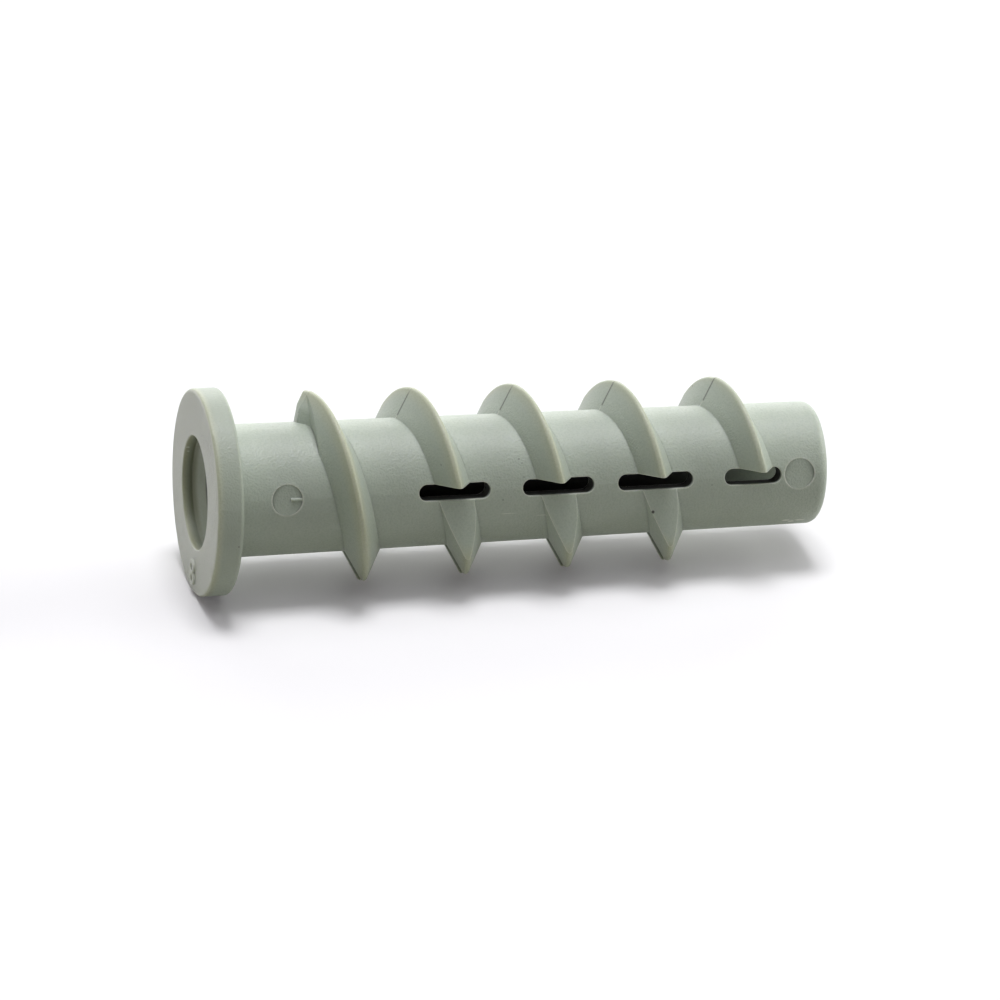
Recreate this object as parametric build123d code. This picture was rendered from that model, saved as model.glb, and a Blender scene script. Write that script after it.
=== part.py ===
from build123d import *
from math import atan, cos, degrees, floor, radians, sin, tan
import os

# Aerated concrete plug: one moulded nylon sleeve with a collar, a helical rib and slotted walls.
# It stands on the outer face of its collar: the origin is the centre of that face and +Z runs
# along the bore towards the open tip. The slots that face +X belong to the near mould half,
# and those that face -X to the far one. The mould halves part in the plane X = 0.

# Overall sizes
LENGTH = 60.0
COLLAR_DIAMETER = 19.4
COLLAR_THICKNESS = 2.55
COLLAR_FACE_ROUND = 0.3
COLLAR_BACK_ROUND = 0.35
NECK_FILLET = 0.8

# Sleeve
SLEEVE_DIAMETER = 12.5
SLEEVE_DRAFT = 0.46
TIP_ROUND = 1.05

# Bore: a shallow seat at the mouth, a countersink, then the screw channel
MOUTH_DIAMETER = 10.7
MOUTH_DEPTH = 1.0
MOUTH_DRAFT = 4.0
MOUTH_ROUND = 0.12
COUNTERSINK_ANGLE = 52.0
BORE_DIAMETER = 7.5
BORE_END_ROUND = 0.25

# Helical rib: a right-handed V with a rounded crest, a little lower towards the tip
RIB_PITCH = 9.85
RIB_DIAMETER = 18.45
RIB_DRAFT = 0.76
RIB_FLANK_ANGLE = 28.0
RIB_CREST_ROUND = 0.3
RIB_DEPTH = 3.6
RIB_FIRST_CROSSING = 13.57

# The mould halves don't quite meet: how far the rib of the far one stands out and is set towards
# the collar, where each of its half turns begins and where it ends
MISMATCH_OUT = (0.1, -0.06)
MISMATCH_ALONG = (0.24, -0.1)
HALF_TURN_OVERLAP = 12.0

# Start of the rib, just past the parting plane: how far below its first crossing it is cut off,
# squarely in the near half and on a slant in the far one
LEAD_IN_ANGLE = 98.5
NEAR_LEAD_IN = 2.79
FAR_LEAD_IN = 3.83
FAR_LEAD_IN_TILT = 14.0

# Wall slots: width, and how far each reaches before and after the middle of the rib there
SLOT_WIDTH = 1.56
SLOT_REACHES = ((3.4, 3.5), (3.25, 3.7), (3.85, 3.5))
LAST_SLOT_REACH = (3.3, 2.3)
FAR_SLOT_REACH = (3.45, 3.5)
TIP_RING = 3.7

# Marks that the mould leaves on the near side
PIN_MARK_DIAMETER = 2.9
PIN_MARK_DEPTH = 0.2
COLLAR_PIN_MARK = 7.43
TIP_PIN_MARK = 2.96
GATE_DIAMETER = 0.32
GATE_LENGTH = 1.1

COLLAR_RADIUS = COLLAR_DIAMETER / 2
BORE_RADIUS = BORE_DIAMETER / 2
MOUTH_RADIUS = MOUTH_DIAMETER / 2
PIN_MARK_RADIUS = PIN_MARK_DIAMETER / 2
CUT_REACH = COLLAR_DIAMETER


def sleeve_radius(height):
    """Outer radius of the sleeve at a height above the collar face."""
    return SLEEVE_DIAMETER / 2 - height * tan(radians(SLEEVE_DRAFT))


def crest_radius(height):
    """Radius of the rib's crest at a height above the collar face."""
    return RIB_DIAMETER / 2 - height * tan(radians(RIB_DRAFT))


def rib_height(turn, angle):
    """Height of the rib's middle after whole turns past its first crossing of +X and an angle."""
    return RIB_FIRST_CROSSING + RIB_PITCH * (turn + angle / 360)


def slotted_turns():
    """Whole turns of the rib that end in a slot on the near side before the tip ring."""
    last = LENGTH - TIP_RING - LAST_SLOT_REACH[1] + SLOT_WIDTH / 2
    return max(1, floor((last - RIB_FIRST_CROSSING) / RIB_PITCH))


def nearest_corner(shape, radius, height):
    """The corner of a section that lies nearest to a radius and a height."""
    return shape.vertices().sort_by_distance((radius, 0, height))[0]


def wall():
    """The collar and the hollow sleeve, turned from their wall section."""
    seat_radius = MOUTH_RADIUS - MOUTH_DEPTH * tan(radians(MOUTH_DRAFT))
    sink_depth = (seat_radius - BORE_RADIUS) / tan(radians(COUNTERSINK_ANGLE))
    neck = (sleeve_radius(COLLAR_THICKNESS), COLLAR_THICKNESS)
    tip = (sleeve_radius(LENGTH), LENGTH)
    corners = [
        (MOUTH_RADIUS, 0),
        (COLLAR_RADIUS, 0),
        (COLLAR_RADIUS, COLLAR_THICKNESS),
        neck,
        tip,
        (BORE_RADIUS, LENGTH),
        (BORE_RADIUS, MOUTH_DEPTH + sink_depth),
        (seat_radius, MOUTH_DEPTH),
    ]
    section = make_face(Polyline([(radius, 0, height) for radius, height in corners], close=True))
    rounds = (
        ((MOUTH_RADIUS, 0), MOUTH_ROUND),
        ((COLLAR_RADIUS, 0), COLLAR_FACE_ROUND),
        ((COLLAR_RADIUS, COLLAR_THICKNESS), COLLAR_BACK_ROUND),
        (neck, NECK_FILLET),
        (tip, TIP_ROUND),
        ((BORE_RADIUS, LENGTH), BORE_END_ROUND),
    )
    for (radius, height), size in rounds:
        section = fillet(nearest_corner(section, radius, height), size)
    return revolve(section, Axis.Z)


def crest_place(angle):
    """Radius and height of the near half's crest at an angle seen from the tip."""
    height = rib_height(0, angle)
    return crest_radius(height), height


def far_crest_place(angle, half_turn_start):
    """Radius and height of the far half's crest, off by the mismatch at that angle."""
    share = (angle - half_turn_start) / 180
    radius, height = crest_place(angle)
    out = MISMATCH_OUT[0] + (MISMATCH_OUT[1] - MISMATCH_OUT[0]) * share
    along = MISMATCH_ALONG[0] + (MISMATCH_ALONG[1] - MISMATCH_ALONG[0]) * share
    return radius + out, height - along


def rib_section():
    """V section of the rib with a rounded crest: x runs outward from the crest, y along the bore."""
    flank = radians(RIB_FLANK_ANGLE)
    touch_depth = RIB_CREST_ROUND * (1 - sin(flank))
    touch = RIB_CREST_ROUND * cos(flank)
    root = touch + (RIB_DEPTH - touch_depth) * tan(flank)
    crest = ThreePointArc((-touch_depth, -touch), (0, 0), (-touch_depth, touch))
    sides = Polyline(
        (-touch_depth, touch),
        (-RIB_DEPTH, root),
        (-RIB_DEPTH, -root),
        (-touch_depth, -touch),
    )
    return make_face([crest, sides])


def swept_rib(start_angle, end_angle, start, end):
    """The V section carried along a helix between two places of its crest."""
    sweep_angle = end_angle - start_angle
    rise = end[1] - start[1]
    taper = degrees(atan((end[0] - start[0]) / rise))
    path = Helix(rise * 360 / sweep_angle, rise, start[0], cone_angle=taper)
    outward = Vector(cos(radians(start_angle)), sin(radians(start_angle)), 0)
    radial = Plane(
        origin=outward * start[0] + Vector(0, 0, start[1]),
        x_dir=outward,
        z_dir=outward.cross(Vector(0, 0, 1)),
    )
    crest = Pos(0, 0, start[1]) * Rot(0, 0, start_angle) * path
    return sweep(radial * rib_section(), crest, is_frenet=True)


def near_rib():
    """The rib on the near mould half's own helix, all along."""
    start = -LEAD_IN_ANGLE
    end = 360 * slotted_turns()
    return swept_rib(start, end, crest_place(start), crest_place(end))


def far_rib():
    """The far mould half's half turns, each from one parting line to the other and a little past both."""
    half_turns = []
    for turn in range(-1, slotted_turns()):
        begins = 90 + 360 * turn
        start = max(-LEAD_IN_ANGLE, begins - HALF_TURN_OVERLAP)
        end = begins + 180 + HALF_TURN_OVERLAP
        places = far_crest_place(start, begins), far_crest_place(end, begins)
        half_turns.append(swept_rib(start, end, *places))
    return half_turns


def trim_block(side):
    """What lies outside the plane that touches the sleeve, on the side where the rib leaves a slot."""
    bottom = rib_height(0, 90 + 90 * side)
    top = LENGTH + RIB_PITCH
    middle = (bottom + top) / 2
    draft = radians(SLEEVE_DRAFT)
    touch = Plane(
        origin=(side * sleeve_radius(middle), 0, middle),
        x_dir=(0, side, 0),
        z_dir=(side * cos(draft), 0, sin(draft)),
    )
    outline = Pos(CUT_REACH / 2, 0) * Rectangle(CUT_REACH, top - bottom)
    return extrude(touch * outline, CUT_REACH)


def lead_in_block(side):
    """What is cut off where the rib starts: squarely in the near half, on a slant in the far one."""
    height = RIB_FIRST_CROSSING - (NEAR_LEAD_IN if side > 0 else FAR_LEAD_IN)
    tilt = radians(0 if side > 0 else FAR_LEAD_IN_TILT)
    face = Plane(
        origin=(0, -sleeve_radius(height), height),
        x_dir=(1, 0, 0),
        z_dir=(0, -sin(tilt), -cos(tilt)),
    )
    return extrude(face * Rectangle(2 * CUT_REACH, 2 * CUT_REACH), CUT_REACH)


def other_half_block(side):
    """Everything on the other side of the parting plane."""
    size = (CUT_REACH, 2 * CUT_REACH, 2 * LENGTH)
    return Pos(-side * CUT_REACH / 2, 0, LENGTH / 2) * Box(*size)


def in_mould_half(rib, side):
    """What one mould half keeps of a length of rib, trimmed flat beyond each of its slots."""
    for block in (other_half_block(side), lead_in_block(side), trim_block(side)):
        rib -= block
    return rib


def wall_slot(side, crossing, before, after):
    """Round-ended slot through one wall and through the rib that crosses it."""
    middle = crossing + (after - before) / 2
    plane = Plane(origin=(0, 0, middle), x_dir=(0, 0, 1), z_dir=(side, 0, 0))
    return extrude(plane * SlotOverall(before + after, SLOT_WIDTH), CUT_REACH)


def wall_slots():
    """Slots of both sides: where each turn of the rib meets the middle of a mould half."""
    turns = slotted_turns()
    slots = []
    for turn in range(1, turns + 1):
        before, after = SLOT_REACHES[(turn - 1) % len(SLOT_REACHES)]
        if turn == turns:
            before, after = LAST_SLOT_REACH
        slots.append(wall_slot(1, rib_height(turn, 0), before, after))
        slots.append(wall_slot(-1, rib_height(turn - 1, 180), *FAR_SLOT_REACH))
    return slots


def pin_mark(height):
    """Flat round recess that a mould pin leaves on the near side."""
    floor_at = sleeve_radius(height) - PIN_MARK_DEPTH
    plane = Plane(origin=(floor_at, 0, height), x_dir=(0, 0, 1), z_dir=(1, 0, 0))
    return extrude(plane * Circle(PIN_MARK_RADIUS), PIN_MARK_DEPTH * 4)


def gate_mark():
    """Broken-off gate: a small rod from the collar-side recess to its rim."""
    floor_at = sleeve_radius(COLLAR_PIN_MARK) - PIN_MARK_DEPTH
    start = COLLAR_PIN_MARK + PIN_MARK_RADIUS - GATE_LENGTH
    rod = Pos(floor_at, 0, start) * Cylinder(
        GATE_DIAMETER / 2,
        GATE_LENGTH + GATE_DIAMETER,
        align=(Align.CENTER, Align.CENTER, Align.MIN),
    )
    return rod


def plug():
    """The whole moulding as one solid."""
    body = wall() + in_mould_half(near_rib(), 1)
    body += [in_mould_half(half_turn, -1) for half_turn in far_rib()]
    body -= wall_slots()
    body -= [pin_mark(COLLAR_PIN_MARK), pin_mark(LENGTH - TIP_PIN_MARK)]
    body += gate_mark()
    return body


os.makedirs("parts", exist_ok=True)
export_step(plug(), "parts/plug.step")
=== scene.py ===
import math

import bpy
from mathutils import Matrix, Vector


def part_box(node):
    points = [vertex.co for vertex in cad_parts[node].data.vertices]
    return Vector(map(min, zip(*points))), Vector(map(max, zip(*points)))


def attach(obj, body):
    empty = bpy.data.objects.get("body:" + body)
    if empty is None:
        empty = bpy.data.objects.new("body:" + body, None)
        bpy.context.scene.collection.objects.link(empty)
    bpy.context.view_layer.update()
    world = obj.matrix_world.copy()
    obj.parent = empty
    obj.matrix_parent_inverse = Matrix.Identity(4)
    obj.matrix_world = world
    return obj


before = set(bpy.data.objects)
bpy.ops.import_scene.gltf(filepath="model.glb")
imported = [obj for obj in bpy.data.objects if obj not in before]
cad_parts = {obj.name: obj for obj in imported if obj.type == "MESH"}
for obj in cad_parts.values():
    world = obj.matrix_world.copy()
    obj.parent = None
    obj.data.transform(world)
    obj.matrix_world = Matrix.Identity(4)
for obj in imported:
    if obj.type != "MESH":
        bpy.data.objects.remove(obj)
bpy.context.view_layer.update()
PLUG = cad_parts["plug"]
PLUG_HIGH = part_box("plug")[1]

bl_info = {
    "name": "Aerated concrete plug",
    "version": (1, 0, 0),
    "blender": (4, 5, 0),
    "location": "View3D > Sidebar > Plug",
    "description": "Moulded nylon finish, cavity numeral and studio for an aerated concrete plug",
    "category": "Object",
}

MM = 0.001

# Where the moulding's areas fade, in mm: first where an area ends, then where it is full.
# "Out" is measured from the middle of the bore, "along" from the collar's face.

CREST_OUT = (7.6, 9.1)
CREST_ALONG = (2.6, 3.4)
FACE_OUT = (5.3, 5.45)
FACE_ALONG = (0.12, 0.02)
RIM_OUT = (9.2, 9.6)
RIM_ALONG = (2.7, 2.5)
RIM_LOW_SIDE = (5.0, 8.8)
FRONT_EDGE_OUT = (9.3, 9.6)
FRONT_EDGE_ALONG = (1.0, 0.1)
MOUTH_OUT = (5.42, 5.36)
MOUTH_ALONG = (2.8, 2.5)
MOUTH_LOW_SIDE = (2.0, 5.3)
MOUTH_WALL = (0.15, 1.05)
MOUTH_CONE = (1.1, 1.5)
SLOT_SIDE = (0.80, 0.785)
SLOT_OUT = (6.20, 5.60)
FIRST_SLOT = (12.0, 16.0)
LAST_SLOT = (55.6, 55.35)
SLEEVE_DRAFT = 0.008
BORE_OUT = (4.12, 3.92)
BORE_START = (1.6, 2.2)
BORE_END = (60.0, 46.0)
SLEEVE_OUT = (7.4, 6.4)
COLLAR_ALONG = (3.4, 2.6)

# The line where the mould halves meet, in mm: its darkness is painted shade of the halves' small
# step, and it shows on the lower side of the rib's turns, most on the flanks that face the collar

LINE_SIDE = (0.34, 0.06)
LINE_ROOT = (6.3, 6.5)
LINE_CREST = (9.0, 8.2)
LINE_ALONG = (14.5, 15.5)
LINE_HEIGHT = (0.5, -0.5)
COLLAR_FACING = (0.0, -0.4)

# The mould pins' round marks on the near side, in mm, each with a painted highlight round its rim

PIN_MARKS = ((0.0, 0.0, 7.43), (0.0, 0.0, 57.04))
PIN_MARK_RADIUS = 1.52
PIN_MARK_EDGE = (0.12, 0.02)
NEAR_SIDE = (4.8, 5.0)

# Small marks of use, in mm: centre, half size along each axis and how strongly they show.
# The pale ones are two hairlines, two scratches in the mouth and the chips near the tip.

SCRATCHES = (
    ((5.49, 2.43, 28.8), (0.5, 0.05, 1.1), 0.55),
    ((5.30, 2.78, 32.1), (0.5, 0.05, 0.85), 0.55),
    ((-3.95, -3.60, 0.30), (0.5, 0.12, 0.22), 0.9),
    ((-4.30, -3.15, 0.40), (0.5, 0.10, 0.16), 0.7),
    ((3.02, 4.92, 56.5), (0.5, 0.14, 0.50), 0.9),
    ((2.70, 5.11, 57.1), (0.5, 0.17, 0.40), 1.0),
    ((2.95, 4.97, 57.9), (0.5, 0.10, 0.60), 0.9),
)

SPECKS = (
    ((5.91, 2.92, 42.66), (0.25, 0.20, 0.20), 1.0),
    ((-4.02, -7.10, 49.36), (0.12, 0.14, 0.14), 0.7),
    ((9.01, 3.59, 2.11), (0.25, 0.11, 0.13), 0.45),
    ((6.98, -2.77, 21.89), (0.10, 0.10, 0.10), 0.6),
    ((5.39, -2.67, 29.81), (0.10, 0.10, 0.12), 0.6),
    ((5.54, -2.30, 30.06), (0.10, 0.08, 0.10), 0.5),
    ((5.92, 1.04, 28.12), (0.10, 0.09, 0.09), 0.6),
    ((5.90, -1.03, 30.15), (0.10, 0.08, 0.10), 0.5),
    ((5.81, 0.65, 48.44), (0.10, 0.08, 0.10), 0.5),
)

MARK_FADE = (1.0, 0.5)

# How strongly each area or layer shows where it is full

CREST_SHARE = 0.85
FRONT_EDGE_SHARE = 0.9
RIM_SHARE = 0.7
SLOT_SHARE = 0.98
LINE_SHARE = 0.85
PIN_MARK_SHARE = 0.36
CLOUD_SHARE = 0.10
GLINT_SPECKLE_SHARE = 0.14
CORNER_SHADE_SHARE = 0.42

# The nylon: how much it bends light, how far red, green and blue travel in it, how much its
# roughness varies with the grain, and how rough the cut slots are

NYLON_IOR = 1.53
SCATTER = (1.0, 1.0, 0.6)
SATIN_SPREAD = 0.06
SLOT_ROUGHNESS = 0.9

# The edges: rays that look for them for the painted edge highlight and corner shade, and how many
# edge radii an inner corner's painted shade reaches

BEVEL_SAMPLES = 6
CORNER_SAMPLES = 8
CORNER_SHADE_REACH = 3.5

# The block that becomes the blend at the rib's start, in mm: its middle, its size, and how far
# its flat back lies inside the far half

BLOCK_MIDDLE = (0.0, -7.0, 10.0)
BLOCK_SIZE = 2.0
FAR_HALF = -0.04

# A figure's height as a share of the typeface's size, and its rounding as a share of its relief

FIGURE_HEIGHT = 0.70
FIGURE_ROUND = 0.45

# The camera of the main view

CAMERA_PLACE = (0.758873, -0.144255, -0.171531)
CAMERA_LOOK = (-0.95030, 0.18336, 0.25161)
CAMERA_UP = (-0.17661, -0.98304, 0.04937)
CAMERA_LENS = 306.0
CAMERA_SENSOR = 36.0
CAMERA_NEAR = 0.01
CAMERA_FAR = 20.0

# The table and the floor: the white that shows, the duller white that the plug is lit from, and
# the light that lifts the shadow on each

BACKDROP_WHITE = (0.94, 0.94, 0.94)
BACKDROP_DULL = (0.32, 0.32, 0.28)
BOUNCE_COLOUR = (1.0, 1.0, 0.9)
BOUNCE_STRENGTH = 0.13
TABLE_LIFT = (0.017, 0.006, 0.026)
FLOOR_LIFT = (0.25, 0.24, 0.26)

COOL_LIGHT = (1.0, 0.995, 1.02)
WARM_LIGHT = (0.98, 1.0, 0.95)


# Sizes and colours that a user would change


class NylonFinish(bpy.types.PropertyGroup):
    body: bpy.props.FloatVectorProperty(
        name="Body",
        description="Colour of the moulded nylon",
        subtype="COLOR",
        size=3,
        default=(0.410, 0.465, 0.395),
    )
    # Painted glow and highlight: a paler, warmer colour on the rib's crests and on the thin front
    # edges of the collar's rim and mouth, standing in for light passing into the thin nylon
    painted_glow: bpy.props.FloatVectorProperty(
        name="Thin parts",
        description="Colour where the nylon is thin and light passes into it",
        subtype="COLOR",
        size=3,
        default=(0.450, 0.465, 0.330),
    )
    cloud: bpy.props.FloatVectorProperty(
        name="Clouds",
        description="Colour of the faint clouds in the nylon",
        subtype="COLOR",
        size=3,
        default=(0.36, 0.40, 0.34),
    )
    # Pale colour of the real scratches and chips, also laid on as painted highlight along the sharp
    # edges and round the pin marks' rims, and as painted glints on the grain's high points
    scratch_and_highlight: bpy.props.FloatVectorProperty(
        name="Scratches and painted highlights",
        description="Colour of the sharp edges, where handling has rubbed them pale",
        subtype="COLOR",
        size=3,
        default=(0.760, 0.780, 0.700),
    )
    # Painted shade: a darker, warmer colour on the collar's rim, fading out towards its low side
    rim: bpy.props.FloatVectorProperty(
        name="Collar rim",
        description="Colour of the collar's rim",
        subtype="COLOR",
        size=3,
        default=(0.350, 0.390, 0.325),
    )
    # Painted sheen: a paler, more neutral colour on the collar's outer face, standing in for the
    # white surroundings that it reflects at a grazing angle
    face: bpy.props.FloatVectorProperty(
        name="Collar face",
        description="Colour of the collar's smooth outer face",
        subtype="COLOR",
        size=3,
        default=(0.605, 0.625, 0.568),
    )
    mouth: bpy.props.FloatVectorProperty(
        name="Mouth",
        description="Colour inside the mouth, where less light comes in",
        subtype="COLOR",
        size=3,
        default=(0.150, 0.160, 0.092),
    )
    # Painted shade: a dark colour laid into the inner corners and along the small step of the
    # mould's parting line, where shade falls
    depth: bpy.props.FloatVectorProperty(
        name="Depths",
        description="Colour down in the inner corners and along the mould's parting line",
        subtype="COLOR",
        size=3,
        default=(0.048, 0.051, 0.038),
    )
    # Painted shade: a near-black colour laid down the bore and in the slots that open into it,
    # where little light reaches
    bore: bpy.props.FloatVectorProperty(
        name="Bore",
        description="Colour of the long dark bore and of the slots that open into it",
        subtype="COLOR",
        size=3,
        default=(0.014, 0.0145, 0.011),
    )
    speck: bpy.props.FloatVectorProperty(
        name="Speck",
        description="Colour of the few dark specks in the nylon",
        subtype="COLOR",
        size=3,
        default=(0.040, 0.038, 0.030),
    )
    roughness: bpy.props.FloatProperty(
        name="Roughness",
        description="Roughness of the satin surface",
        default=0.43,
        min=0.0,
        max=1.0,
        subtype="FACTOR",
    )
    grain: bpy.props.FloatProperty(
        name="Grain",
        description="Size of the fine mould grain",
        default=0.00020,
        unit="LENGTH",
    )
    grain_depth: bpy.props.FloatProperty(
        name="Grain depth",
        description="Depth of the fine mould grain",
        default=0.00004,
        unit="LENGTH",
    )
    edge: bpy.props.FloatProperty(
        name="Edge radius",
        description="Radius to which the moulding's edges and corners look rounded",
        default=0.00018,
        unit="LENGTH",
    )
    translucence: bpy.props.FloatProperty(
        name="Translucence",
        description="Share of the light that passes into the nylon",
        default=0.25,
        min=0.0,
        max=1.0,
        subtype="FACTOR",
    )
    light_depth: bpy.props.FloatProperty(
        name="Light depth",
        description="How deep the light passes into the nylon",
        default=0.0009,
        unit="LENGTH",
    )


class RibStartSizes(bpy.types.PropertyGroup):
    blend: bpy.props.FloatProperty(
        name="Blend",
        description="How far the rib's start blends across the parting line",
        default=0.0014,
        unit="LENGTH",
    )


class NumeralSizes(bpy.types.PropertyGroup):
    figure: bpy.props.StringProperty(
        name="Figure",
        description="Plain numeral raised on the collar's face",
        default="8",
    )
    height: bpy.props.FloatProperty(
        name="Height",
        description="Height of the numeral",
        default=0.0024,
        unit="LENGTH",
    )
    thin: bpy.props.FloatProperty(
        name="Thinning",
        description="How much thinner the numeral's strokes are than the plain typeface's",
        default=0.00005,
        unit="LENGTH",
    )
    relief: bpy.props.FloatProperty(
        name="Relief",
        description="How far the numeral stands out of the collar's face",
        default=0.00016,
        unit="LENGTH",
    )
    place: bpy.props.FloatVectorProperty(
        name="Place",
        description="Middle of the numeral on the collar's face",
        subtype="TRANSLATION",
        unit="LENGTH",
        size=2,
        default=(-0.0008, 0.0075),
    )


class StudioSizes(bpy.types.PropertyGroup):
    table: bpy.props.FloatProperty(
        name="Table",
        description="Width of the table that the plug lies on",
        default=1.6,
        unit="LENGTH",
    )
    contact: bpy.props.FloatProperty(
        name="Contact",
        description="How far behind its face the collar touches the table",
        default=0.0025,
        unit="LENGTH",
    )
    tilt: bpy.props.FloatProperty(
        name="Table tilt",
        description="Tilt that brings the table up to the last turn of the rib",
        default=math.radians(1.0),
        unit="ROTATION",
    )
    roll: bpy.props.FloatProperty(
        name="Table roll",
        description="How far the lying plug is rolled round its bore on the table",
        default=math.radians(14.0),
        unit="ROTATION",
    )
    key: bpy.props.FloatProperty(
        name="Key",
        description="Strength of the broad soft light above the plug",
        default=0.95,
        min=0.0,
    )
    core: bpy.props.FloatProperty(
        name="Key core",
        description="Strength of the smaller light in the middle of the key",
        default=1.6,
        min=0.0,
    )
    collar: bpy.props.FloatProperty(
        name="Collar side",
        description="Strength of the light on the collar's face",
        default=0.55,
        min=0.0,
    )
    tip: bpy.props.FloatProperty(
        name="Tip side",
        description="Strength of the light from beyond the open tip",
        default=2.15,
        min=0.0,
    )
    back: bpy.props.FloatProperty(
        name="Back",
        description="Strength of the light on the far side of the plug",
        default=1.5,
        min=0.0,
    )
    fill: bpy.props.FloatProperty(
        name="Fill",
        description="Strength of the light from all round",
        default=0.02,
        min=0.0,
    )


# Helpers for the pieces


def deselect_all():
    """Leaves nothing selected and no object in edit mode."""
    if bpy.context.object and bpy.context.object.mode != "OBJECT":
        bpy.ops.object.mode_set(mode="OBJECT")
    bpy.ops.object.select_all(action="DESELECT")


def select_only(piece):
    """Selects one piece and makes it active."""
    deselect_all()
    piece.select_set(True)
    bpy.context.view_layer.objects.active = piece


def place_in_mesh(piece):
    """Moves a finished piece's place, turn and size from its object into its mesh."""
    select_only(piece)
    bpy.ops.object.transform_apply(location=True, rotation=True, scale=True)
    deselect_all()


def smooth(piece, degrees):
    """Shades a piece smooth, apart from its edges that are sharper than an angle."""
    select_only(piece)
    bpy.ops.object.shade_smooth_by_angle(angle=math.radians(degrees))
    deselect_all()


def move_corner(piece, index, shift):
    """Moves one corner of the active piece."""
    for part in (*piece.data.polygons, *piece.data.edges, *piece.data.vertices):
        part.select = False
    piece.data.vertices[index].select = True
    bpy.ops.object.mode_set(mode="EDIT")
    bpy.ops.mesh.select_mode(type="VERT")
    bpy.ops.transform.translate(value=shift)
    bpy.ops.object.mode_set(mode="OBJECT")


# Helpers for the materials


def add(tree, kind, inputs=(), **settings):
    """Adds a node with its settings and its unlinked input values."""
    node = tree.nodes.new(kind)
    for name, value in settings.items():
        setattr(node, name, value)
    for name, value in dict(inputs).items():
        node.inputs[name].default_value = value
    return node


def math_node(tree, operation, first, second=None):
    """Adds a maths node whose two sides are each a socket or a number."""
    node = add(tree, "ShaderNodeMath", operation=operation)
    for index, side in enumerate((first, second)):
        if isinstance(side, bpy.types.NodeSocket):
            tree.links.new(side, node.inputs[index])
        elif side is not None:
            node.inputs[index].default_value = side
    return node.outputs[0]


def product(tree, mask, *others):
    """Multiplies masks with each other."""
    for other in others:
        mask = math_node(tree, "MULTIPLY", mask, other)
    return mask


def vector_math(tree, operation, vector, other=None):
    """Adds vector maths on a socket, with a plain vector as its other side if it has one."""
    inputs = {} if other is None else {1: other}
    node = add(tree, "ShaderNodeVectorMath", inputs, operation=operation)
    tree.links.new(vector, node.inputs[0])
    return node.outputs["Value" if operation == "LENGTH" else "Vector"]


def vector_parts(tree, vector):
    """A vector's parts, as sockets named X, Y and Z."""
    node = add(tree, "ShaderNodeSeparateXYZ")
    tree.links.new(vector, node.inputs["Vector"])
    return node.outputs


def distance_out(tree, place):
    """How far a place is from the middle of the bore."""
    return vector_math(tree, "LENGTH", vector_math(tree, "MULTIPLY", place, (1.0, 1.0, 0.0)))


def ramp(tree, value, span, start=0.0, end=1.0):
    """Maps a value smoothly from a span onto the range from start to end."""
    node = add(
        tree,
        "ShaderNodeMapRange",
        {"From Min": span[0], "From Max": span[1], "To Min": start, "To Max": end},
        interpolation_type="SMOOTHSTEP",
    )
    tree.links.new(value, node.inputs["Value"])
    return node.outputs["Result"]


def mix_colour(tree, mask, first, second):
    """Mixes two colours, each a socket or a plain colour, by a mask."""
    node = add(tree, "ShaderNodeMix", data_type="RGBA")
    tree.links.new(mask, node.inputs[0])
    for socket, colour in ((node.inputs[6], first), (node.inputs[7], second)):
        if isinstance(colour, bpy.types.NodeSocket):
            tree.links.new(colour, socket)
        else:
            socket.default_value = (*colour, 1.0)
    return node.outputs[2]


def add_shaders(tree, first, second):
    """Adds two shaders to each other."""
    node = add(tree, "ShaderNodeAddShader")
    tree.links.new(first, node.inputs[0])
    tree.links.new(second, node.inputs[1])
    return node.outputs[0]


def mix_shaders(tree, mask, first, second):
    """Goes from the first shader to the second where a mask is 1."""
    node = add(tree, "ShaderNodeMixShader")
    for index, socket in enumerate((mask, first, second)):
        tree.links.new(socket, node.inputs[index])
    return node.outputs[0]


def new_group(name, inputs, outputs):
    """A shader node group with named sockets, and its input and output nodes."""
    group = bpy.data.node_groups.new(name, "ShaderNodeTree")
    for label, kind in inputs:
        group.interface.new_socket(label, in_out="INPUT", socket_type=kind)
    for label, kind in outputs:
        group.interface.new_socket(label, in_out="OUTPUT", socket_type=kind)
    return group, group.nodes.new("NodeGroupInput"), group.nodes.new("NodeGroupOutput")


def use_group(tree, name, build, links=(), values=()):
    """Places a node group, built at its first use, and returns its outputs."""
    group = bpy.data.node_groups.get(name) or build(name)
    node = add(tree, "ShaderNodeGroup", values, node_tree=group)
    for label, socket in dict(links).items():
        tree.links.new(socket, node.inputs[label])
    return node.outputs


# Node groups that both nylons share


def mould_grain_group(name):
    """Fine grain that the mould's spark-eroded steel leaves, with faint cloudiness in the nylon."""
    group, given, made = new_group(
        name,
        [("Place", "NodeSocketVector"), ("Fineness", "NodeSocketFloat")],
        [("Height", "NodeSocketFloat"), ("Tone", "NodeSocketFloat")],
    )
    fine = add(group, "ShaderNodeTexNoise", {"Detail": 3.0, "Roughness": 0.6})
    pits = add(group, "ShaderNodeTexVoronoi", {"Randomness": 1.0})
    cloud = add(group, "ShaderNodeTexNoise", {"Scale": 0.35, "Detail": 2.0})
    for texture in (fine, pits, cloud):
        group.links.new(given.outputs["Place"], texture.inputs["Vector"])
    for texture in (fine, pits):
        group.links.new(given.outputs["Fineness"], texture.inputs["Scale"])
    rounded = math_node(group, "MULTIPLY", pits.outputs["Distance"], 0.5)
    height = math_node(group, "ADD", fine.outputs["Fac"], rounded)
    group.links.new(height, made.inputs["Height"])
    group.links.new(cloud.outputs["Fac"], made.inputs["Tone"])
    return group


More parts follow.
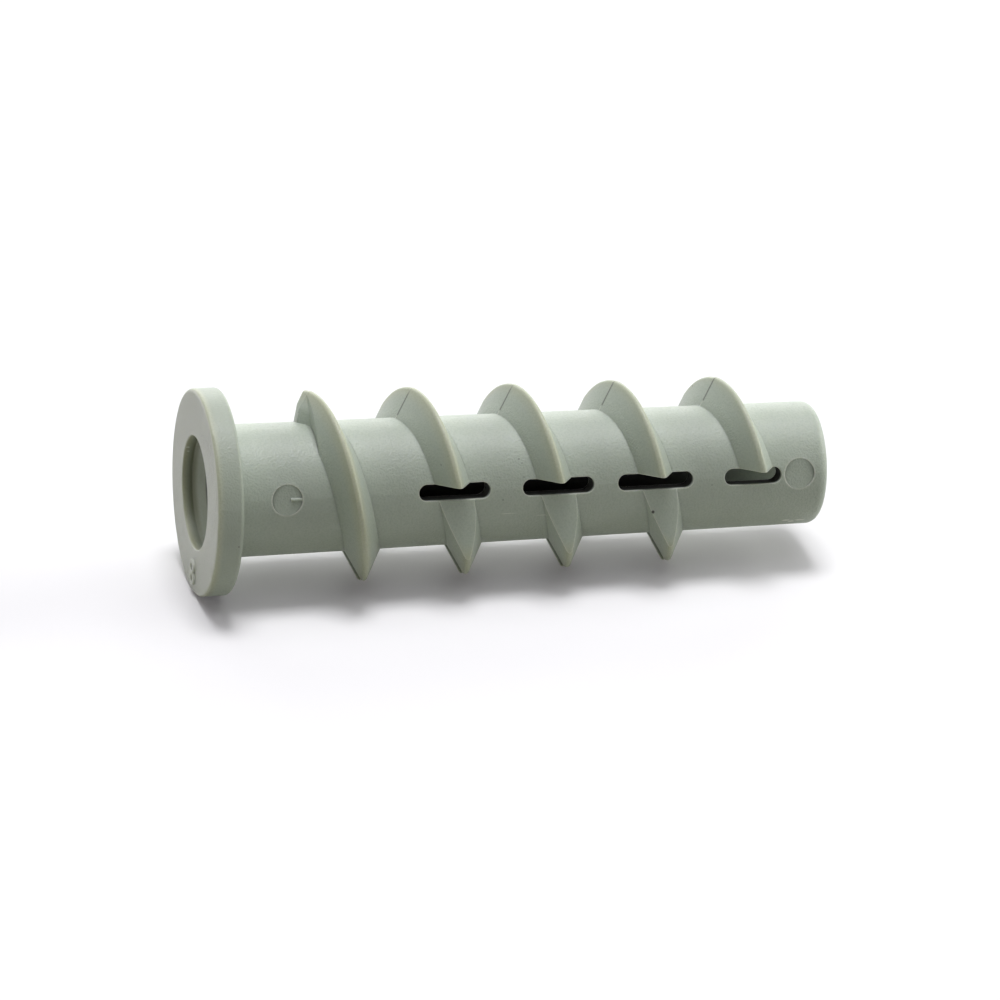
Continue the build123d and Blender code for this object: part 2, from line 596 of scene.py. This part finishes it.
def edge_highlight_and_corner_shade_group(name):
    """Sharp outer edges for a painted highlight, inner corners for painted shade, and a normal that
    rounds both.
    """
    outputs = (("Mask", "Float"), ("PaintedCornerShade", "Float"), ("Normal", "Vector"))
    group, given, made = new_group(
        name,
        [("Radius", "NodeSocketFloat")],
        [(label, f"NodeSocket{kind}") for label, kind in outputs],
    )
    radius = given.outputs["Radius"]
    bevel = add(group, "ShaderNodeBevel", samples=BEVEL_SAMPLES)
    group.links.new(radius, bevel.inputs["Radius"])
    flat = add(group, "ShaderNodeNewGeometry")
    likeness = add(group, "ShaderNodeVectorMath", operation="DOT_PRODUCT")
    group.links.new(bevel.outputs["Normal"], likeness.inputs[0])
    group.links.new(flat.outputs["Normal"], likeness.inputs[1])
    turned = math_node(group, "SUBTRACT", 1.0, likeness.outputs["Value"])

    corners = {"samples": CORNER_SAMPLES, "only_local": True}
    inside = add(group, "ShaderNodeAmbientOcclusion", inside=True, **corners)
    group.links.new(radius, inside.inputs["Distance"])
    outside = add(group, "ShaderNodeAmbientOcclusion", **corners)
    reach = math_node(group, "MULTIPLY", radius, CORNER_SHADE_REACH)
    group.links.new(reach, outside.inputs["Distance"])

    # Painted highlight along the sharp outer edges
    near_edge = ramp(group, turned, (0.006, 0.10))
    outer = ramp(group, inside.outputs["AO"], (0.97, 0.80))
    group.links.new(product(group, near_edge, outer), made.inputs["Mask"])
    # Painted shade in the inner corners
    group.links.new(ramp(group, outside.outputs["AO"], (0.92, 0.50)), made.inputs["PaintedCornerShade"])
    group.links.new(bevel.outputs["Normal"], made.inputs["Normal"])
    return group


def moulding_areas_group(name):
    """The moulding's areas, told apart by how far out and how far along the bore they lie; most of
    them carry painted glow, highlight, sheen and shade.
    """
    areas = ("PaintedGlow", "PaintedRimShade", "PaintedFaceSheen", "Mouth", "Slot", "Bore", "Grained")
    group, given, made = new_group(
        name,
        [("Place", "NodeSocketVector")],
        [(area, "NodeSocketFloat") for area in areas],
    )
    parts = vector_parts(group, given.outputs["Place"])
    low, along = parts["Y"], parts["Z"]
    out = distance_out(group, given.outputs["Place"])

    in_mouth = ramp(group, out, MOUTH_OUT)
    front_edge = ramp(group, along, FRONT_EDGE_ALONG)
    rim_edge = ramp(group, out, FRONT_EDGE_OUT, 0.0, FRONT_EDGE_SHARE)
    thin = math_node(group, "MAXIMUM", rim_edge, in_mouth)
    # Painted glow and highlight on the rib's crests and on the thin front edges of the rim and
    # mouth
    rib_crest = product(
        group,
        ramp(group, out, CREST_OUT, 0.0, CREST_SHARE),
        ramp(group, along, CREST_ALONG),
    )
    crest = math_node(group, "MAXIMUM", rib_crest, product(group, front_edge, thin))
    # Painted shade on the collar's rim, fading out towards its low side
    rim = product(
        group,
        ramp(group, out, RIM_OUT, 0.0, RIM_SHARE),
        ramp(group, along, RIM_ALONG),
        ramp(group, low, RIM_LOW_SIDE, 1.0, 0.1),
        ramp(group, front_edge, (0.0, 1.0), 1.0, 0.25),
    )
    # Painted sheen on the collar's outer face
    face = product(group, ramp(group, along, FACE_ALONG), ramp(group, out, FACE_OUT))
    down_wall = ramp(group, along, MOUTH_WALL, 0.05, 1.0)
    down_cone = ramp(group, along, MOUTH_CONE, 1.0, 0.55)
    mouth = product(
        group,
        math_node(group, "MINIMUM", down_wall, down_cone),
        in_mouth,
        ramp(group, along, MOUTH_ALONG),
        ramp(group, low, MOUTH_LOW_SIDE, 1.0, 0.55),
    )
    drafted = math_node(group, "ADD", out, math_node(group, "MULTIPLY", along, SLEEVE_DRAFT))
    # Painted shade in the slots
    slot = product(
        group,
        ramp(group, math_node(group, "ABSOLUTE", low), SLOT_SIDE),
        ramp(group, drafted, SLOT_OUT, 0.0, SLOT_SHARE),
        ramp(group, along, FIRST_SLOT),
        ramp(group, along, LAST_SLOT),
    )
    # Painted shade down the bore
    bore = product(
        group,
        ramp(group, out, BORE_OUT),
        ramp(group, along, BORE_START),
        ramp(group, along, BORE_END),
    )
    sleeve, collar = ramp(group, out, SLEEVE_OUT), ramp(group, along, COLLAR_ALONG)
    off_rib = math_node(group, "MAXIMUM", sleeve, collar)
    grained = product(
        group,
        ramp(group, off_rib, (0.0, 1.0), 0.35, 1.0),
        ramp(group, in_mouth, (0.0, 1.0), 1.0, 0.35),
    )
    for area, mask in zip(areas, (crest, rim, face, mouth, slot, bore, grained)):
        group.links.new(mask, made.inputs[area])
    return group


def moulding_marks_group(name):
    """The line where the mould halves meet, darkened with painted shade of its small step, and one
    plug's pin marks with a painted highlight round their rims, scratches and specks.
    """
    group, given, made = new_group(
        name,
        [("Place", "NodeSocketVector")],
        [(mark, "NodeSocketFloat") for mark in ("Line", "ScratchAndPinHighlight", "Speck")],
    )
    place = given.outputs["Place"]
    parts = vector_parts(group, place)
    out = distance_out(group, place)
    surface = add(group, "ShaderNodeNewGeometry")
    facing = vector_parts(group, surface.outputs["Normal"])["Z"]
    # Painted shade along the parting line, strongest on the flanks that face the collar
    line = product(
        group,
        ramp(group, math_node(group, "ABSOLUTE", parts["X"]), LINE_SIDE, 0.0, LINE_SHARE),
        product(group, ramp(group, out, LINE_ROOT), ramp(group, out, LINE_CREST)),
        ramp(group, parts["Z"], LINE_ALONG),
        ramp(group, parts["Y"], LINE_HEIGHT),
        ramp(group, facing, COLLAR_FACING, 0.2, 1.0),
    )
    group.links.new(line, made.inputs["Line"])

    # A painted highlight round each pin mark's rim, laid on with the pale scratches
    pin_rim_highlights = 0.0
    for centre in PIN_MARKS:
        offset = vector_math(group, "SUBTRACT", place, centre)
        gap = vector_math(group, "LENGTH", vector_math(group, "MULTIPLY", offset, (0.0, 1.0, 1.0)))
        from_ring = math_node(group, "SUBTRACT", gap, PIN_MARK_RADIUS)
        from_ring = math_node(group, "ABSOLUTE", from_ring)
        ring = ramp(group, from_ring, PIN_MARK_EDGE, 0.0, PIN_MARK_SHARE)
        pin_rim_highlights = math_node(group, "MAXIMUM", ring, pin_rim_highlights)
    pin_rim_highlights = product(group, pin_rim_highlights, ramp(group, parts["X"], NEAR_SIDE))

    for mark, places, total in (("ScratchAndPinHighlight", SCRATCHES, pin_rim_highlights), ("Speck", SPECKS, 0.0)):
        for centre, size, strength in places:
            offset = vector_math(group, "SUBTRACT", place, centre)
            away = vector_math(group, "LENGTH", vector_math(group, "DIVIDE", offset, size))
            mask = ramp(group, away, MARK_FADE, 0.0, strength)
            total = math_node(group, "MAXIMUM", mask, total)
        group.links.new(total, made.inputs[mark])
    return group


# Materials


def nylon_material(name, edge_radius):
    """Light grey-green moulded nylon, satin, a little translucent where it is thin, with painted
    glow, highlights, sheen and shade in its colour.
    """
    finish = bpy.context.scene.plug_nylon
    material = bpy.data.materials.new(name)
    material.use_nodes = True
    tree = material.node_tree
    shader = tree.nodes["Principled BSDF"]
    shader.inputs["IOR"].default_value = NYLON_IOR
    shader.inputs["Subsurface Weight"].default_value = finish.translucence
    shader.inputs["Subsurface Radius"].default_value = SCATTER
    shader.inputs["Subsurface Scale"].default_value = finish.light_depth

    coordinates = add(tree, "ShaderNodeTexCoord")
    in_mm = add(tree, "ShaderNodeVectorMath", {"Scale": 1 / MM}, operation="SCALE")
    tree.links.new(coordinates.outputs["Object"], in_mm.inputs[0])
    place = {"Place": in_mm.outputs["Vector"]}
    fineness = {"Fineness": MM / finish.grain}
    grain = use_group(tree, "mould grain", mould_grain_group, place, fineness)
    edge = use_group(tree, "edge highlight and corner shade", edge_highlight_and_corner_shade_group, values={"Radius": edge_radius})
    areas = use_group(tree, "moulding areas", moulding_areas_group, place)
    marks = use_group(tree, "moulding marks", moulding_marks_group, place)

    colour = finish.body
    for mask, layer in (
        # Painted glow and highlight on the crests and thin edges
        (areas["PaintedGlow"], finish.painted_glow),
        (ramp(tree, grain["Tone"], (0.3, 0.7), 0.0, CLOUD_SHARE), finish.cloud),
        # Pale speckle on the grain's high points: painted glints on the real grain
        (ramp(tree, grain["Height"], (0.45, 0.95), 0.0, GLINT_SPECKLE_SHARE), finish.scratch_and_highlight),
        # Painted shade on the collar's rim
        (areas["PaintedRimShade"], finish.rim),
        # Painted sheen on the collar's outer face
        (areas["PaintedFaceSheen"], finish.face),
        (areas["Mouth"], finish.mouth),
        # Painted shade in the slots and down the bore
        (areas["Slot"], finish.bore),
        (areas["Bore"], finish.bore),
        # Painted shade in the inner corners
        (math_node(tree, "MULTIPLY", edge["PaintedCornerShade"], CORNER_SHADE_SHARE), finish.depth),
        # Painted highlight along the sharp edges
        (edge["Mask"], finish.scratch_and_highlight),
        # Painted shade along the parting line
        (marks["Line"], finish.depth),
        # Real scratches and chips, and the painted highlight round the pin marks' rims
        (marks["ScratchAndPinHighlight"], finish.scratch_and_highlight),
        (marks["Speck"], finish.speck),
    ):
        colour = mix_colour(tree, mask, colour, layer)
    tree.links.new(colour, shader.inputs["Base Color"])

    roughest, smoothest = finish.roughness + SATIN_SPREAD, finish.roughness - SATIN_SPREAD
    satin = ramp(tree, grain["Height"], (0.3, 1.0), roughest, smoothest)
    dull = math_node(tree, "MULTIPLY", areas["Slot"], SLOT_ROUGHNESS)
    tree.links.new(math_node(tree, "MAXIMUM", satin, dull), shader.inputs["Roughness"])

    bump = add(tree, "ShaderNodeBump", {"Strength": 1.0, "Distance": finish.grain_depth})
    tree.links.new(product(tree, grain["Height"], areas["Grained"]), bump.inputs["Height"])
    tree.links.new(edge["Normal"], bump.inputs["Normal"])
    tree.links.new(bump.outputs["Normal"], shader.inputs["Normal"])
    return material


def shown_rays(tree):
    """1 for the rays that show the backdrop: from the camera, off gloss and through clear parts."""
    path = add(tree, "ShaderNodeLightPath").outputs
    seen = math_node(tree, "MAXIMUM", path["Is Camera Ray"], path["Is Glossy Ray"])
    return math_node(tree, "MAXIMUM", seen, path["Is Transmission Ray"])


def backdrop_material(name, lift, camera_only=False):
    """White surface that keeps the shadow on it and is not there when seen from its back."""
    material = bpy.data.materials.new(name)
    material.use_nodes = True
    tree = material.node_tree
    tree.nodes.clear()
    white = add(tree, "ShaderNodeBsdfDiffuse", {"Color": (*BACKDROP_WHITE, 1.0)})
    glow = add(tree, "ShaderNodeEmission", {"Color": (*lift, 1.0), "Strength": 1.0})
    dull = add(tree, "ShaderNodeBsdfDiffuse", {"Color": (*BACKDROP_DULL, 1.0)})
    given_back = {"Color": (*BOUNCE_COLOUR, 1.0), "Strength": BOUNCE_STRENGTH}
    bounce = add(tree, "ShaderNodeEmission", given_back)
    clear = add(tree, "ShaderNodeBsdfTransparent").outputs[0]
    side = add(tree, "ShaderNodeNewGeometry")

    shown = add_shaders(tree, white.outputs[0], glow.outputs[0])
    unseen = add_shaders(tree, dull.outputs[0], bounce.outputs[0])
    surface = mix_shaders(tree, shown_rays(tree), unseen, shown)
    surface = mix_shaders(tree, side.outputs["Backfacing"], surface, clear)
    if camera_only:
        path = add(tree, "ShaderNodeLightPath")
        surface = mix_shaders(tree, path.outputs["Is Camera Ray"], clear, surface)
    out = add(tree, "ShaderNodeOutputMaterial")
    tree.links.new(surface, out.inputs["Surface"])
    return material


def studio_world(fill):
    """White all round for the rays that show it, and an even fill for the rest."""
    world = bpy.data.worlds.new("studio")
    world.use_nodes = True
    tree = world.node_tree
    tree.nodes.clear()
    around = add(tree, "ShaderNodeBackground", {"Strength": fill})
    white = add(tree, "ShaderNodeBackground", {"Strength": 1.0})
    either = mix_shaders(tree, shown_rays(tree), around.outputs[0], white.outputs[0])
    out = add(tree, "ShaderNodeOutputWorld")
    tree.links.new(either, out.inputs["Surface"])
    return world


# Operators, one for each piece or group of pieces and one for the stage


class PLUG_OT_finish_moulding(bpy.types.Operator):
    """Give the moulded plug its nylon finish"""

    bl_idname = "plug.finish_moulding"
    bl_label = "Finish the moulding"

    def execute(self, context):
        nylon = nylon_material("grey-green nylon", context.scene.plug_nylon.edge)
        PLUG.data.materials.clear()
        PLUG.data.materials.append(nylon)
        return {"FINISHED"}


class PLUG_OT_blend_rib_start(bpy.types.Operator):
    """Blend the near half of the rib's start into the far half, across the parting line"""

    bl_idname = "plug.blend_rib_start"
    bl_label = "Blend the rib's start"

    def execute(self, context):
        width = context.scene.plug_rib.blend / MM
        middle = Vector(BLOCK_MIDDLE) * MM
        deselect_all()
        bpy.ops.mesh.primitive_cube_add(size=BLOCK_SIZE * MM, location=middle)
        blend = context.object
        blend.name = "rib_start_blend"
        place_in_mesh(blend)

        # Each corner's side of the block in x, y and z, and its place on the rib in mm
        corners = {
            (-1, 1, -1): (FAR_HALF, -6.00, 9.72),
            (-1, -1, -1): (FAR_HALF, -7.40, 10.05),
            (-1, -1, 1): (FAR_HALF, -8.76, 10.79),
            (-1, 1, 1): (FAR_HALF, -6.00, 11.40),
            (1, 1, -1): (2.0 * width, -5.60, 11.75),
            (1, -1, -1): (1.6 * width, -7.30, 11.40),
            (1, -1, 1): (0.3, -8.60, 11.00),
            (1, 1, 1): (2.0 * width, -5.60, 11.85),
        }
        select_only(blend)
        for index, start in enumerate([vertex.co.copy() for vertex in blend.data.vertices]):
            side = tuple(1 if part > 0 else -1 for part in start - middle)
            move_corner(blend, index, Vector(corners[side]) * MM - start)
        bpy.ops.object.mode_set(mode="EDIT")
        bpy.ops.mesh.select_all(action="SELECT")
        bpy.ops.mesh.subdivide(number_cuts=3)
        bpy.ops.mesh.normals_make_consistent(inside=False)
        bpy.ops.object.mode_set(mode="OBJECT")
        smooth(blend, degrees=50)
        blend.data.materials.append(nylon_material("blended nylon", 0.0))
        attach(blend, "root")
        return {"FINISHED"}


class PLUG_OT_add_numeral(bpy.types.Operator):
    """Raise a plain numeral on the collar's face"""

    bl_idname = "plug.add_numeral"
    bl_label = "Add the numeral"

    def execute(self, context):
        sizes = context.scene.plug_numeral
        deselect_all()
        bpy.ops.object.text_add()
        text = context.object.data
        text.body = sizes.figure
        text.align_x = "CENTER"
        text.align_y = "CENTER"
        text.size = sizes.height / FIGURE_HEIGHT
        text.offset = -sizes.thin
        text.extrude = sizes.relief
        text.bevel_depth = sizes.relief * FIGURE_ROUND
        text.bevel_resolution = 2
        bpy.ops.object.convert(target="MESH")
        numeral = context.object
        numeral.name = "cavity_numeral"
        facing_out = Matrix.Rotation(math.pi, 4, "Y")
        numeral.matrix_world = Matrix.Translation((*sizes.place, 0.0)) @ facing_out
        place_in_mesh(numeral)
        smooth(numeral, degrees=40)
        numeral.data.materials.append(PLUG.data.materials[0])
        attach(numeral, "root")
        return {"FINISHED"}


class PLUG_OT_set_stage(bpy.types.Operator):
    """Set the camera, the soft lights, the table and the floor"""

    bl_idname = "plug.set_stage"
    bl_label = "Set the stage"

    def execute(self, context):
        sizes = context.scene.plug_studio
        deselect_all()
        look = Vector(CAMERA_LOOK).normalized()
        up = Vector(CAMERA_UP).normalized()
        right = look.cross(up).normalized()
        turn = Matrix((right, right.cross(look), -look)).transposed()
        bpy.ops.object.camera_add(location=CAMERA_PLACE, rotation=turn.to_euler())
        camera = context.object
        camera.name = "camera"
        camera.data.lens = CAMERA_LENS
        camera.data.sensor_width = CAMERA_SENSOR
        camera.data.clip_start = CAMERA_NEAR
        camera.data.clip_end = CAMERA_FAR
        context.scene.camera = camera

        reach = PLUG_HIGH.y
        beside, below = -reach * math.sin(sizes.roll), reach * math.cos(sizes.roll)
        bpy.ops.mesh.primitive_plane_add(size=sizes.table)
        table = context.object
        table.name = "table"
        table.rotation_euler = (math.pi / 2 + sizes.tilt, 0.0, sizes.roll)
        table.location = (beside, below, sizes.contact)
        place_in_mesh(table)
        table.data.materials.append(backdrop_material("white table", TABLE_LIFT))

        # The floor under the standing plug is there only for the camera, and only from above
        bpy.ops.mesh.primitive_plane_add(size=sizes.table)
        floor = context.object
        floor.name = "floor"
        under = backdrop_material("standing floor", FLOOR_LIFT, camera_only=True)
        floor.data.materials.append(under)

        for name, strength, degrees, direction, colour in (
            ("key", sizes.key, 70, (-0.25, 1.0, 0.0), COOL_LIGHT),
            ("key core", sizes.core, 22, (-0.16, 1.0, 0.0), COOL_LIGHT),
            ("collar side", sizes.collar, 60, (0.0, 0.2, 1.0), WARM_LIGHT),
            ("tip side", sizes.tip, 60, (0.04, 0.2, -1.0), WARM_LIGHT),
            ("back", sizes.back, 60, (1.0, 0.5, -0.25), WARM_LIGHT),
        ):
            bpy.ops.object.light_add(type="SUN")
            lamp = context.object
            lamp.name = name
            lamp.data.energy = strength
            lamp.data.color = colour
            lamp.data.angle = math.radians(degrees)
            lamp.rotation_mode = "QUATERNION"
            lamp.rotation_quaternion = Vector(direction).to_track_quat("-Z", "Y")

        context.scene.world = studio_world(sizes.fill)
        context.scene.view_settings.view_transform = "Standard"
        return {"FINISHED"}


# Each step's title, the name and class of its settings, and its operator

STEPS = (
    ("Nylon", "plug_nylon", NylonFinish, PLUG_OT_finish_moulding),
    ("Rib", "plug_rib", RibStartSizes, PLUG_OT_blend_rib_start),
    ("Numeral", "plug_numeral", NumeralSizes, PLUG_OT_add_numeral),
    ("Studio", "plug_studio", StudioSizes, PLUG_OT_set_stage),
)


class PLUG_PT_panel(bpy.types.Panel):
    """Sizes, colours and steps of the plug"""

    bl_idname = "PLUG_PT_panel"
    bl_label = "Aerated concrete plug"
    bl_space_type = "VIEW_3D"
    bl_region_type = "UI"
    bl_category = "Plug"

    def draw(self, context):
        for title, name, settings, operator in STEPS:
            box = self.layout.box()
            box.label(text=title)
            for setting in settings.__annotations__:
                box.prop(getattr(context.scene, name), setting)
            box.operator(operator.bl_idname)


def register():
    for _, name, settings, operator in STEPS:
        bpy.utils.register_class(settings)
        setattr(bpy.types.Scene, name, bpy.props.PointerProperty(type=settings))
        bpy.utils.register_class(operator)
    bpy.utils.register_class(PLUG_PT_panel)


def unregister():
    bpy.utils.unregister_class(PLUG_PT_panel)
    for _, name, settings, operator in reversed(STEPS):
        bpy.utils.unregister_class(operator)
        delattr(bpy.types.Scene, name)
        bpy.utils.unregister_class(settings)


def main():
    """Builds the looks of the plug."""
    register()
    bpy.ops.plug.finish_moulding()
    bpy.ops.plug.blend_rib_start()
    bpy.ops.plug.add_numeral()
    bpy.ops.plug.set_stage()


if __name__ == "__main__":
    main()
